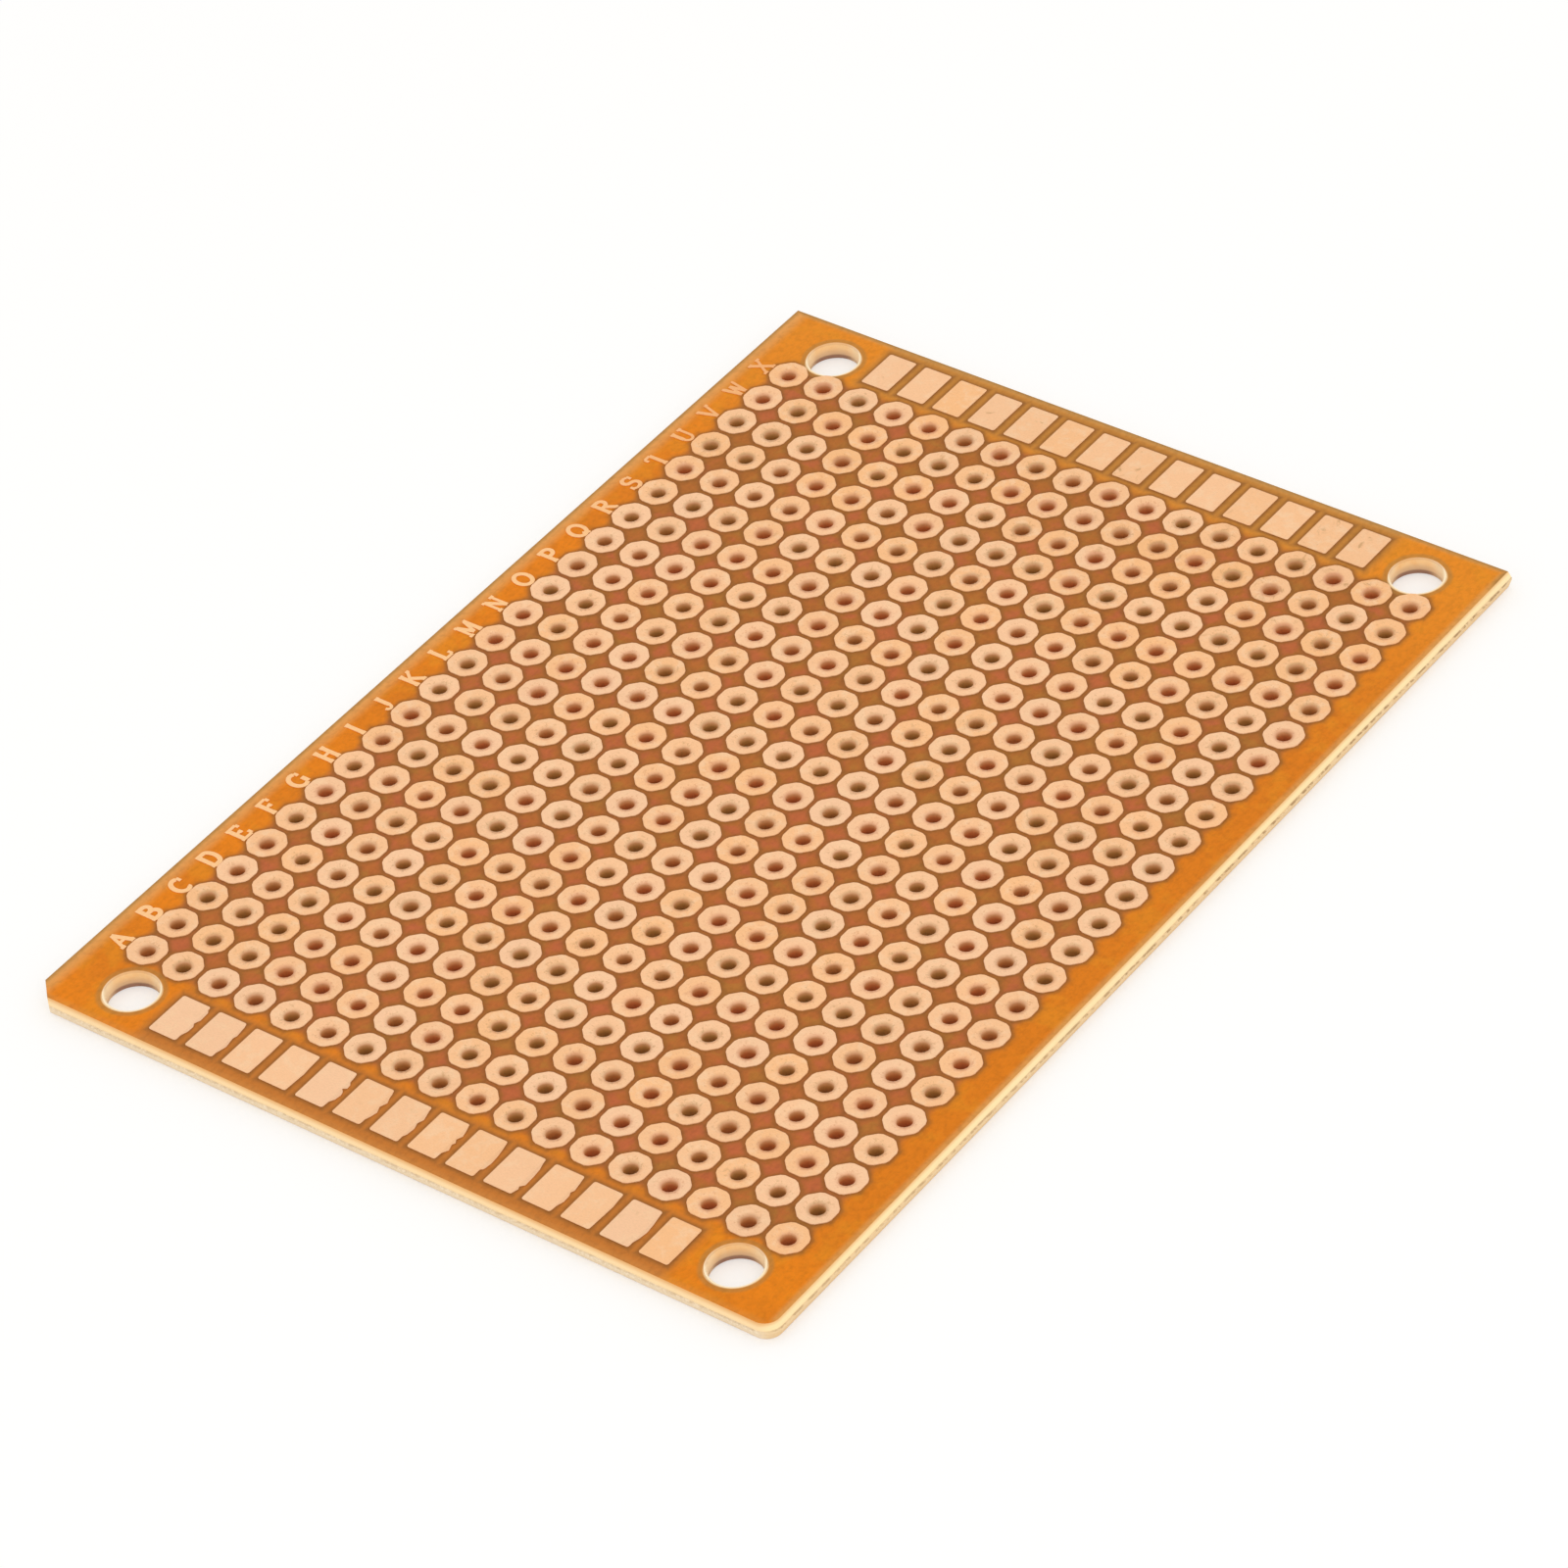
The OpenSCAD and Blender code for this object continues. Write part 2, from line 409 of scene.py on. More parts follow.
def laminate_face():
    """Amber phenolic paper under a thin gloss, with russet painted shade between the pads."""
    plan = material_plan("laminate_face")
    place = plan.place()
    x, y, _ = plan.split(place)
    clouds = plan.mottle(place, 0.22, 4.0, 0.6, 0.4)
    patches = plan.mottle(place, 0.5, 3.0, 0.6, 0.3)
    fibre = plan.mottle(plan.stretched(place, 1.0, 0.35, 1.0), 5.0, 4.0, 0.65)
    grain = plan.mottle(place, 2.6, 3.0, 0.65)
    russet = plan.blend(y.fade(-24.0, 20.0), RUSSET_SHADE, RUSSET_BACK)
    russet = plan.blend(patches.fade(0.48, 0.62) * 0.7, russet, RUSSET_RED)
    russet = plan.blend(patches.fade(0.46, 0.34) * 0.6, russet, RUSSET_OLIVE)
    right_margin = x.fade(18.0, 22.0) * abs(y).fade(32.0, 27.0)
    colour = plan.blend(clouds.fade(0.35, 0.68).most(right_margin), AMBER, AMBER_DEEP)
    colour = plan.blend(y.fade(18.0, 33.0) * 0.9, colour, AMBER_BACK)
    colour = plan.blend(patches.fade(0.48, 0.64) * 0.4, colour, AMBER_GOLD)
    strip = plan.blend(y.fade(-20.0, 20.0), STRIP_BROWN, STRIP_BACK)
    colour = plan.blend(strip_share(x, y), colour, strip)
    # Painted shade: russet between the pads, as if the copper kept light from passing through the paper
    # there.
    colour = plan.blend(shade_between_pads(x, y), colour, russet)
    from_pad = pad_distance(x, y)
    # Painted shade: a dark outline on the paper round every pad.
    colour = plan.blend(from_pad.fade(0.5, 0.1) * 0.3, colour, PAD_EDGE_SHADE)
    colour = plan.blend(from_pad.fade(0.27, 0.02) * 0.7, colour, PAD_EDGE_SHADE)
    to_edge = (HALF_W - EDGE_INSET - abs(x)).least(HALF_L - EDGE_INSET - abs(y))
    front = (y * -1).fade(HALF_L - 1.0, HALF_L - 0.5)
    far_side = (x * -1 / HALF_W).most(y / HALF_L).fade(0.93, 0.96)
    colour = plan.blend(to_edge.fade(0.5, 0.05) * (0.75 - front * 0.55), colour, EDGE_YELLOW)
    left_side = (x * -1).fade(HALF_W - 1.4, HALF_W - 0.6)
    colour = plan.blend(left_side * 0.75, colour, EDGE_WARM)
    # Painted shade: a dark olive line along the face's edge on the left and back sides.
    colour = plan.blend(to_edge.fade(0.35, 0.02) * far_side * 0.8, colour, EDGE_OLIVE_SHADE)
    across, along = mount_place(x, y)
    from_bore = (across * across + along * along).math("SQRT") - MOUNT_R
    worn_and_lit = worn_and_lit_side(across, along)
    from_rim = from_bore - worn_and_lit * (2 * WORN_SHIFT)
    # Painted shade: a soft olive ring round each mounting hole.
    colour = plan.blend(from_rim.fade(0.5, 0.25) * 0.6, colour, EDGE_OLIVE_SHADE)
    # Painted highlight: the pale halo round a mounting hole, whitened paper made brightest on the worn and
    # lit side.
    halo = from_rim.fade(0.14, 0.04)
    colour = plan.blend(halo * (worn_and_lit * 0.6 + patches * 0.5), colour, HALO)
    colour = plan.shaded(fibre.fade(0.4, 0.68) * 0.6, colour, 0.86)
    colour = plan.shaded(grain.fade(0.44, 0.66), colour, 0.9)
    roughness = fibre * 0.12 + 0.36
    normal = plan.relief(fibre * 0.7 + grain * 0.3, 0.012, 0.5)
    constants = {"IOR": 1.5, "Specular IOR Level": 0.09}
    return new_material("laminate_face", colour, roughness, normal, **constants)


def laminate_underside():
    """The bare side: the same paper, duller, with a faint cross weave pressed into it."""
    plan = material_plan("laminate_underside")
    place = plan.place()
    x, y, _ = plan.split(place)
    clouds = plan.mottle(place, 0.15, 4.0, 0.6, 0.6)
    fibre = plan.mottle(plan.stretched(place, 1.0, 0.3, 1.0), 4.0, 4.0, 0.65)
    weave = (x * 9.0).math("SINE") * (y * 9.0).math("SINE") * 0.5 + 0.5
    colour = plan.blend(clouds.fade(0.3, 0.7), UNDERSIDE, AMBER_DEEP)
    colour = plan.shaded(fibre.fade(0.4, 0.75) * 0.6, colour, 0.86)
    normal = plan.relief(fibre * 0.7 + weave * 0.3, 0.004, 0.3)
    roughness = fibre * 0.15 + 0.42
    return new_material("laminate_underside", colour, roughness, normal, **{"Specular IOR Level": 0.35})


def snapped_edge():
    """Score flanks, orange at the face and creamy below, paler still under the web as painted light, and the
    torn paper of the web.
    """
    plan = material_plan("snapped_edge")
    place = plan.place()
    x, y, z = plan.split(place)
    streaks = plan.mottle(plan.stretched(place, 0.4, 0.4, 6.0), 3.0, 3.0, 0.6)
    torn = plan.mottle(place, 7.0, 4.0, 0.7)
    gaps = plan.mottle(place, 1.8, 3.0, 0.65)
    half_web = BOARD_T / 2 - SCORE_DEPTH
    in_web = abs(z - BOARD_T / 2).fade(half_web + 0.05, half_web + 0.01)
    corner = abs(z - BOARD_T / 2 - half_web).fade(0.05, 0.0)
    rougher = x.fade(HALF_W - 2.0, HALF_W - 0.5) * (y.fade(-30.0, 20.0) * 0.6 + 0.4)
    right = x.fade(HALF_W - 1.0, HALF_W - 0.3)
    flank = plan.blend(right, FLANK, FLANK_BRIGHT)
    colour = plan.blend((z - right * 0.08).fade(BOARD_T - 0.34, BOARD_T), flank, FLANK_TOP)
    # Painted light: the flank below the web is made paler, as if lit by the table.
    lower = plan.blend(right, FLANK_LOW_GLOW, FLANK_LOW_GLOW_WARM)
    colour = plan.blend(z.fade(BOARD_T / 2, BOARD_T / 2 - 0.15), colour, lower)
    colour = plan.shaded(streaks.fade(0.5, 0.72) * 0.5, colour, 0.92)
    web = plan.blend(torn.fade(0.35, 0.6), WEB_PALE, WEB_TAN)
    colour = plan.blend(in_web, colour, plan.blend(right * 0.8, web, WEB_WARM))
    colour = plan.blend(corner * gaps.fade(0.42, 0.6) * (0.3 + rougher * 0.7), colour, WEB_DARK)
    normal = plan.relief(torn * in_web + streaks * 0.3, 0.05, 0.8)
    roughness = torn * 0.2 + 0.6
    return new_material("snapped_edge", colour, roughness, normal, **{"Specular IOR Level": 0.25})


def hole_wall():
    """Punched wall: pale just under the copper and red brown down in the bore, the darkening with depth
    painted as shade.
    """
    plan = material_plan("hole_wall")
    place = plan.place()
    x, y, z = plan.split(place)
    redness = pad_draw(x, y)
    layers = plan.mottle(plan.stretched(place, 1.0, 1.0, 5.0), 3.0, 3.0, 0.6)
    # Painted shade: the bore's colour darkens with depth.
    depth_shade = z.fade(BOARD_T - 0.05, BOARD_T - 0.5)
    deep = plan.blend(redness.fade(0.2, 0.8), WALL_OLIVE, WALL_RED)
    colour = plan.blend(depth_shade, WALL_PALE, deep)
    colour = plan.shaded(layers.fade(0.45, 0.7) * 0.6, colour, 0.85)
    normal = plan.relief(layers, 0.02, 0.6)
    roughness = layers * 0.15 + 0.6
    return new_material("hole_wall", colour, roughness, normal, **{"Specular IOR Level": 0.25})


def drilled_wall():
    """A mounting hole's wall: peach, cream as painted highlight on the worn side and beside it, with painted
    shade lower down and a painted shadow at the foot.
    """
    plan = material_plan("drilled_wall")
    place = plan.place()
    x, y, z = plan.split(place)
    across, along = mount_place(x, y)
    worn_and_lit = worn_and_lit_side(across, along)
    side = beside_worn_and_lit(across, along)
    rings = plan.mottle(plan.stretched(place, 0.6, 0.6, 8.0), 2.0, 3.0, 0.6)
    patches = plan.mottle(place, 1.6, 3.0, 0.6)
    colour = plan.blend(patches.fade(0.35, 0.7), DRILLED, DRILLED_WARM)
    # Painted highlight: cream on the worn and lit side of the wall and beside it.
    colour = plan.blend(worn_and_lit * 0.4 + side * 0.5, colour, DRILLED_CREAM)
    # Painted shade: the wall darker lower down, less so at its sides, and a painted shadow at its foot.
    colour = plan.blend(z.fade(0.85, 0.3) * (0.85 - side * 0.6), colour, DRILLED_LOW_SHADE)
    colour = plan.blend(z.fade(0.36, 0.2) * (0.9 - side * 0.6), colour, DRILLED_FOOT_SHADOW)
    # Painted highlight on the rim's worn and lit side, and painted shade on the rim opposite.
    rim = z.fade(BOARD_T - 0.16, BOARD_T - 0.05)
    colour = plan.blend(rim * worn_and_lit * 0.8, colour, DRILLED_CREAM)
    colour = plan.blend(rim * worn_and_lit.fade(0.45, 0.05) * 0.3, colour, RUSSET_SHADE)
    colour = plan.shaded(rings.fade(0.48, 0.7) * 0.4, colour, 0.9)
    normal = plan.relief(rings, 0.02, 0.7)
    roughness = rings * 0.15 + 0.55
    return new_material("drilled_wall", colour, roughness, normal, **{"Specular IOR Level": 0.3})


def copper_foil():
    """Lacquered copper: peach, a little different from pad to pad, darker in the rolled lips from dirt and
    painted shade.
    """
    plan = material_plan("copper_foil")
    place = plan.place()
    x, y, z = plan.split(place)
    _, _, across, along = pad_cell(x, y)
    redness = pad_draw(x, y)
    warmth, dullness = redness.beside("Y"), redness.beside("Z")
    drift = plan.mottle(place, 0.3, 3.0, 0.6)
    cast = plan.mottle(place, 1.4, 4.0, 0.6, 0.3)
    grain = plan.mottle(plan.stretched(place, 1.0, 4.0, 1.0), 6.0, 3.0, 0.7)
    towards_last = y.fade(12.0, 28.0)
    colour = plan.blend(warmth * 0.8 + drift * 0.3 - towards_last * 0.25, PEACH_WARM, PEACH)
    colour = plan.blend(cast.fade(0.45, 0.7) * 0.7, colour, PEACH_PALE)
    colour = plan.shaded(grain.fade(0.42, 0.66) * 0.7, colour, 0.9)
    ends = abs(y).fade(HALF_L * 0.5, HALF_L * 0.95)
    colour = plan.shaded(ends * 0.2 + dullness * 0.4, colour, 0.93)
    smudge = plan.mottle(place, 0.9, 4.0, 0.7, 0.8).fade(0.58, 0.72)
    towards_back = y.fade(8.0, 30.0) * 0.5 + 0.2
    colour = plan.blend(smudge * towards_back * dullness.fade(0.3, 0.8), colour, TARNISH)
    from_hole = (across * across + along * along).math("SQRT")
    # Painted shade with dirt: the lip darkens towards the hole, olive or red from pad to pad.
    lip_grime_and_shade = plan.blend(redness.fade(0.35, 0.8), LIP_OLIVE, LIP_RED)
    lip = from_hole.fade(MOUTH_R - 0.04, LEAD_R)
    share = dullness * 0.4 + cast * 0.1 + towards_last * 0.2 + 0.12
    colour = plan.blend(lip * share, colour, lip_grime_and_shade)
    specks = plan.mottle(place, 5.0, 3.0, 0.7).fade(0.54, 0.66)
    colour = plan.blend(specks * from_hole.fade(1.05, 0.6) * 0.4, colour, lip_grime_and_shade)
    # Painted shade: the copper darker where it rolls down into the hole.
    inside = z.fade(BOARD_T + FOIL_T * 0.5, BOARD_T - ROLL_DEPTH)
    colour = plan.blend(inside * 0.7, colour, LIP_DEEP_SHADE)
    # Painted shade: the copper darkens towards its etched edge.
    rim = pad_distance(x, y).fade(-0.07, 0.0)
    colour = plan.shaded(rim * 0.35, colour, 0.82)
    normal = plan.relief(grain * 0.4 + cast * 0.6, 0.01, 0.6)
    roughness = grain * 0.12 + cast * 0.1 + 0.3
    constants = {"Metallic": 0.85 - inside.most(lip) * 0.7, "Specular IOR Level": 0.4}
    return new_material("copper_foil", colour, roughness, normal, **constants)


def letter_foil():
    """The letters' thin strokes: more orange than the pads, and fading towards the last rows."""
    plan = material_plan("letter_foil")
    place = plan.place()
    y = plan.split(place)[1]
    grain = plan.mottle(place, 6.0, 3.0, 0.7)
    colour = plan.blend(y.fade(5.0, 30.0) * 0.8, LETTER_PEACH, LETTER_FADED)
    colour = plan.shaded(grain.fade(0.4, 0.7) * 0.6, colour, 0.92)
    normal = plan.relief(grain, 0.01, 0.6)
    roughness = grain * 0.15 + 0.35
    return new_material("letter_foil", colour, roughness, normal, Metallic=0.6)


def put_in_scene(name, data):
    """Makes an object of a mesh, a lamp or a camera and puts it in the scene."""
    made = bpy.data.objects.new(name, data)
    bpy.context.scene.collection.objects.link(made)
    return made


def mesh_object(name, bm):
    """Turns a bmesh in millimetres into an object in metres."""
    bm.transform(Matrix.Scale(MM, 4))
    mesh = bpy.data.meshes.new(name)
    bm.to_mesh(mesh)
    bm.free()
    return put_in_scene(name, mesh)


def finished(name, bm, materials):
    """Turns a bmesh into a piece of the board."""
    piece = mesh_object(name, bm)
    for material in materials:
        piece.data.materials.append(material)
    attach(piece, "root")
    return piece


# The panel's steps: the length of one along its edge, and how many go round its corner and holes
EDGE_STEP = 0.25
CORNER_STEPS = 8
HOLE_STEPS = 16
MOUNT_STEPS = 48

# Its snapped edge: how far the flanks waver, the height of the web's root, and the tip's missing web
FLANK_WAVER = 0.02
WEB_ROOT = 0.02
BROKEN_TIP = 1.6

# Order of the materials on its mesh
FACE, EDGE, WALL, BORE, BELOW = range(5)


def panel_outline():
    """The top face's edge as (x, y, out x, out y), anticlockwise from the front left cut."""
    left, right = -(HALF_W - EDGE_INSET), HALF_W - EDGE_INSET
    front, back = -(HALF_L - EDGE_INSET), HALF_L - EDGE_INSET
    turn = right - CORNER_ROUND
    bend = front + CORNER_ROUND
    points = []

    def run(start, end, out_start, out_along):
        """Points from one corner to just short of the next."""
        steps = max(2, round(math.dist(start, end) / EDGE_STEP))
        for i in range(steps):
            share = i / steps
            at = [a + (b - a) * share for a, b in zip(start, end)]
            points.append((*at, *(out_along if i else out_start)))

    run((left + CORNER_CUT, front), (turn, front), (1, -1), (0, -1))
    for i in range(CORNER_STEPS):
        angle = math.radians(-90 + 90 * i / CORNER_STEPS)
        out = (math.cos(angle), math.sin(angle))
        points.append((turn + CORNER_ROUND * out[0], bend + CORNER_ROUND * out[1], *out))
    run((right, bend), (right, back), (1, 0), (1, 0))
    run((right, back), (left, back), (1, 1), (0, 1))
    run((left, back), (left, front + CORNER_CUT), (-1, 1), (-1, 0))
    points.append((left, front + CORNER_CUT, -1, 1))
    return points


def ragged(x, y, level):
    """How much of the web is left standing here, from 0.1 to 1."""
    long_wave = noise.noise(Vector((x * 0.35, y * 0.35, level * 0.7)))
    short_wave = noise.noise(Vector((x * 2.1, y * 2.1, level * 3.1 + 9)))
    torn = 0.4 if x > 0 and y > 0 else 0.2
    from_tip = math.dist((x, y), (HALF_W, HALF_L))
    standing = 0.85 + 2 * torn * (long_wave + short_wave)
    return min(1.0, max(0.1, min(standing, from_tip / BROKEN_TIP - 0.2)))


def edge_profile():
    """(height, flank share, web share) down the snapped edge."""
    upper = BOARD_T - SCORE_DEPTH
    lower = SCORE_DEPTH
    third = (upper - lower) / 3
    return [
        (BOARD_T, 0, 0), (upper + WEB_ROOT, 1, 0), (upper, 1, 0.75),
        (upper - third, 1, 1), (lower + third, 1, 1),
        (lower, 1, 0.75), (lower - WEB_ROOT, 1, 0), (0, 0, 0),
    ]


def ring(bm, middle_x, middle_y, radius, z, steps):
    """A ring of vertices round a hole."""
    turned = math.pi / steps
    return [
        bm.verts.new((middle_x + radius * math.cos(2 * math.pi * i / steps + turned),
                      middle_y + radius * math.sin(2 * math.pi * i / steps + turned), z))
        for i in range(steps)
    ]


def skirt(bm, upper, lower, material, smooth=True):
    """Quads between two loops of vertices, facing to the right of the upper one's run."""
    count = len(upper)
    for i in range(count):
        j = (i + 1) % count
        face = bm.faces.new((upper[i], lower[i], lower[j], upper[j]))
        face.material_index = material
        face.smooth = smooth


def numbered(loops):
    """For each loop, the numbers that its points have when all the loops are laid end to end."""
    starts = [0, *itertools.accumulate(len(loop) for loop in loops)]
    return [list(range(start, start + len(loop))) for start, loop in zip(starts, loops)]


def sheet(bm, outline, holes, material, upwards):
    """A flat face inside an outline, with holes, as triangles on the loops' own vertices."""
    loops = [outline] + holes
    owner = [v for loop in loops for v in loop]
    flat = [Vector(v.co.xy) for v in owner]
    _, _, faces, origins, _, sources = geometry.delaunay_2d_cdt(flat, [], numbered(loops), 1, 1e-6)
    home = [owner[group[0]] for group in origins]
    for face, source in zip(faces, sources):
        if list(source) != [0]:
            continue
        order = face if upwards else face[::-1]
        made = bm.faces.new([home[i] for i in order])
        made.material_index = material
        made.smooth = False


def lead_holes():
    """Middle of every lead hole, row by row."""
    return [(GRID_X + c * PITCH, GRID_Y + r * PITCH) for r in range(ROWS) for c in range(COLUMNS)]


def mounting_holes():
    """Middle of every mounting hole."""
    return [(MOUNT_X + sx * MOUNT_DX, sy * MOUNT_DY) for sx in (-1, 1) for sy in (-1, 1)]


def bored(bm, at, stations, steps, material):
    """The wall of one hole through its (radius, height, lean) stations. Returns its end rings."""
    rings = [ring(bm, at[0] + lean * WORN_TO.x, at[1] + lean * WORN_TO.y, radius, z, steps)
             for radius, z, lean in stations]
    for upper, lower in zip(rings, rings[1:]):
        skirt(bm, lower, upper, material)
    return rings[0], rings[-1]


def rough_edge(bm):
    """The panel's snapped edge, from its face down to its underside. Returns its end loops."""
    loops = []
    outline = panel_outline()
    flank = EDGE_INSET - WEB_STUB
    for level, (z, flank_share, web_share) in enumerate(edge_profile()):
        loop = []
        for x, y, out_x, out_y in outline:
            waver = FLANK_WAVER * noise.noise(Vector((x * 0.5, y * 0.5, 4.0))) if flank_share else 0.0
            out = flank * flank_share + web_share * WEB_STUB * ragged(x, y, level)
            out = min(out + waver, EDGE_INSET)
            loop.append(bm.verts.new((x + out * out_x, y + out * out_y, z)))
        loops.append(loop)
    for upper, lower in zip(loops, loops[1:]):
        skirt(bm, upper, lower, EDGE, smooth=False)
    return loops[0], loops[-1]


def laminate_panel(materials):
    """The bare board: two sheets, a ragged edge between them, and every hole's wall."""
    bm = bmesh.new()
    face_loop, under_loop = rough_edge(bm)
    foot = BOARD_T - ROLL_DEPTH
    lead = [
        (MOUTH_R + FOIL_T, BOARD_T, 0), (LEAD_R + FOIL_T, foot, 0), (LEAD_R, foot - 0.02, 0),
        (LEAD_R, BREAKOUT_Z, 0), (LEAD_R + BREAKOUT, 0, 0),
    ]
    drill = [
        (MOUNT_R + MOUNT_RIM, BOARD_T, WORN_SHIFT),
        (MOUNT_R + MOUNT_RIM * 0.4, BOARD_T - 0.04, WORN_SHIFT * 0.5),
        (MOUNT_R, BOARD_T - MOUNT_RIM_DEPTH, 0),
        (MOUNT_R, BREAKOUT_Z, 0), (MOUNT_R + BREAKOUT, 0, 0),
    ]
    ends = [bored(bm, at, lead, HOLE_STEPS, WALL) for at in lead_holes()]
    ends += [bored(bm, at, drill, MOUNT_STEPS, BORE) for at in mounting_holes()]
    sheet(bm, face_loop, [top for top, _ in ends], FACE, True)
    sheet(bm, under_loop, [bottom for _, bottom in ends], BELOW, False)
    piece = finished("laminate_panel", bm, materials)
    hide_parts("laminate")


# Angle from the middle of an octagon's side to its corner, and to where the etch eats into the corner
TO_CORNER = 22.5
TO_ETCHED = 16.0


def octagon_point(angle, inset):
    """A point on the octagon's rim, with its corners eaten back by the etch."""
    side = PAD_W / 2 - inset
    into = (math.degrees(angle) + TO_CORNER) % (2 * TO_CORNER) - TO_CORNER
    corner = side / math.cos(math.radians(TO_CORNER)) - ETCH_TRIM
    radius = min(side / math.cos(math.radians(into)), corner)
    return radius * math.cos(angle), radius * math.sin(angle)


def pad_pattern():
    """One octagonal pad round the origin, its middle rolled down into the hole."""
    bm = bmesh.new()
    sides = [math.radians(2 * TO_CORNER * i) for i in range(8)]
    near_corner = math.radians(TO_ETCHED)
    angles = [middle + turn for middle in sides for turn in (-near_corner, near_corner)]

    def rim(inset, z):
        return [bm.verts.new((*octagon_point(a, inset), z)) for a in angles]

    def circle(radius, z):
        even = [math.radians(360 / HOLE_STEPS * (i - 0.5)) for i in range(HOLE_STEPS)]
        return [bm.verts.new((radius * math.cos(a), radius * math.sin(a), z)) for a in even]

    outside, top = rim(0.0, BOARD_T), rim(RIM_SLOPE, FOIL_TOP)
    lip, turn = circle(LIP_START_R, FOIL_TOP), circle(LIP_TURN_R, BOARD_T - LIP_DROP)
    throat, seat = circle(LEAD_R, BOARD_T - ROLL_DEPTH), circle(MOUTH_R + FOIL_T, BOARD_T)
    loops = [outside, top, lip, turn, throat, seat]
    for outer, inner in zip(loops, loops[1:] + loops[:1]):
        skirt(bm, inner, outer, 0, smooth=outer in (lip, turn))
    for edge in bm.edges:
        edge.smooth = not all(vert in throat for vert in edge.verts)
    bmesh.ops.recalc_face_normals(bm, faces=bm.faces)
    return mesh_object("pad_pattern", bm)


class GrowthPlan(Plan):
    """A geometry node tree with named inputs, closed by Realize Instances and Set Material."""

    def __init__(self, name, wants):
        super().__init__(bpy.data.node_groups.new(name, "GeometryNodeTree"))
        face = self.tree.interface
        face.new_socket(name="Geometry", in_out="OUTPUT", socket_type="NodeSocketGeometry")
        for title, kind in wants.items():
            face.new_socket(name=title, in_out="INPUT", socket_type="NodeSocket" + kind)
        self.inlet = self.node("NodeGroupInput")

    def given(self, title):
        """One of the tree's named inputs."""
        return self.inlet.beside(title)

    def close(self, shape):
        """Makes the shape real, gives it its material and ends the tree."""
        real = self.node("GeometryNodeRealizeInstances", None, {0: shape})
        dressed = self.node("GeometryNodeSetMaterial", None, {0: real, "Material": self.given("Material")})
        self.node("NodeGroupOutput", None, {0: dressed})
        return self.tree


def pad_row_tree():
    """Copies of one pad along a row, each turned by quarters and a hair out of true."""
    plan = GrowthPlan("pad_row", {
        "Pad": "Object", "Columns": "Int", "Pitch": "Float", "First": "Vector",
        "Wander": "Float", "Seed": "Int", "Material": "Material"})
    step = plan.node("ShaderNodeCombineXYZ", None, {0: plan.given("Pitch")})
    line = plan.node("GeometryNodeMeshLine", {"mode": "OFFSET"}, {
        "Count": plan.given("Columns"), "Start Location": plan.given("First"), "Offset": step})
    pad = plan.node("GeometryNodeObjectInfo", {"transform_space": "ORIGINAL"},
                    {"Object": plan.given("Pad")}, out="Geometry")
    quarters = plan.node("FunctionNodeRandomValue", {"data_type": "INT"},
                         {4: 0, 5: 3, "Seed": plan.given("Seed")}, out=2)
    turn = plan.node("ShaderNodeCombineXYZ", None, {2: quarters * (math.pi / 2)})
    placed = plan.node("GeometryNodeInstanceOnPoints", None, {
        "Points": line, "Instance": pad, "Rotation": turn})
    shift = plan.node("FunctionNodeRandomValue", {"data_type": "FLOAT_VECTOR"}, {
        0: (-1.0, -1.0, 0.0), 1: (1.0, 1.0, 0.0), "Seed": plan.given("Seed") + 50})
    drift = plan.node("ShaderNodeVectorMath", {"operation": "SCALE"}, {
        0: shift, "Scale": plan.given("Wander")})
    moved = plan.node("GeometryNodeTranslateInstances", None, {
        "Instances": placed, "Translation": drift})
    return plan.close(moved)


def grown(name, tree, sizes):
    """Runs a geometry tree on an empty carrier and keeps the result as a plain mesh piece."""
    carrier = put_in_scene(name, bpy.data.meshes.new(name))
    modifier = carrier.modifiers.new("grow", "NODES")
    modifier.node_group = tree
    for item in tree.interface.items_tree:
        if item.in_out == "INPUT" and item.name in sizes:
            modifier[item.identifier] = sizes[item.name]
    reach = bpy.context.evaluated_depsgraph_get()
    mesh = bpy.data.meshes.new_from_object(carrier.evaluated_get(reach), depsgraph=reach)
    carrier.modifiers.remove(modifier)
    carrier.data = mesh
    mesh.name = name
    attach(carrier, "root")
    return carrier


def pad_rows(copper):
    """Every row of octagonal pads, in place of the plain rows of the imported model."""
    tree = pad_row_tree()
    pattern = pad_pattern()
    for number, node in enumerate(ROW_NODES):
        first = Vector((GRID_X, GRID_Y + number * PITCH, 0)) * MM
        sizes = {"Pad": pattern, "Columns": COLUMNS, "Pitch": PITCH * MM, "First": first,
                 "Wander": PAD_WANDER * MM, "Seed": FIRST_SEED + number, "Material": copper}
        piece = grown("octagons_" + node[-1], tree, sizes)
        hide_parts(node)
    bpy.data.objects.remove(pattern)


def arc(x, y, reach_x, reach_y, start, end, steps=9):
    """Points along part of an ellipse, angles in degrees."""
    angles = [math.radians(start + (end - start) * i / steps) for i in range(steps + 1)]
    return [(x + reach_x * math.cos(a), y + reach_y * math.sin(a)) for a in angles]


def stem(x, low=0.0, high=1.0):
    """An upright stroke."""
    return [(x, low), (x, high)]


def bar(start, end, up):
    """A level stroke."""
    return [(start, up), (end, up)]


def serif(x, up=0.0, half=0.16):
    """A short bar across the end of a stem."""
    return bar(x - half, x + half, up)


def bowl(top, bottom, reach):
    """The round side of a B, D, P or R, which starts at their stem."""
    middle = (top + bottom) / 2
    deep = 0.3
    return [(0.1, top)] + arc(reach - deep, middle, deep, (top - bottom) / 2, 90, -90) + [(0.22, bottom)]


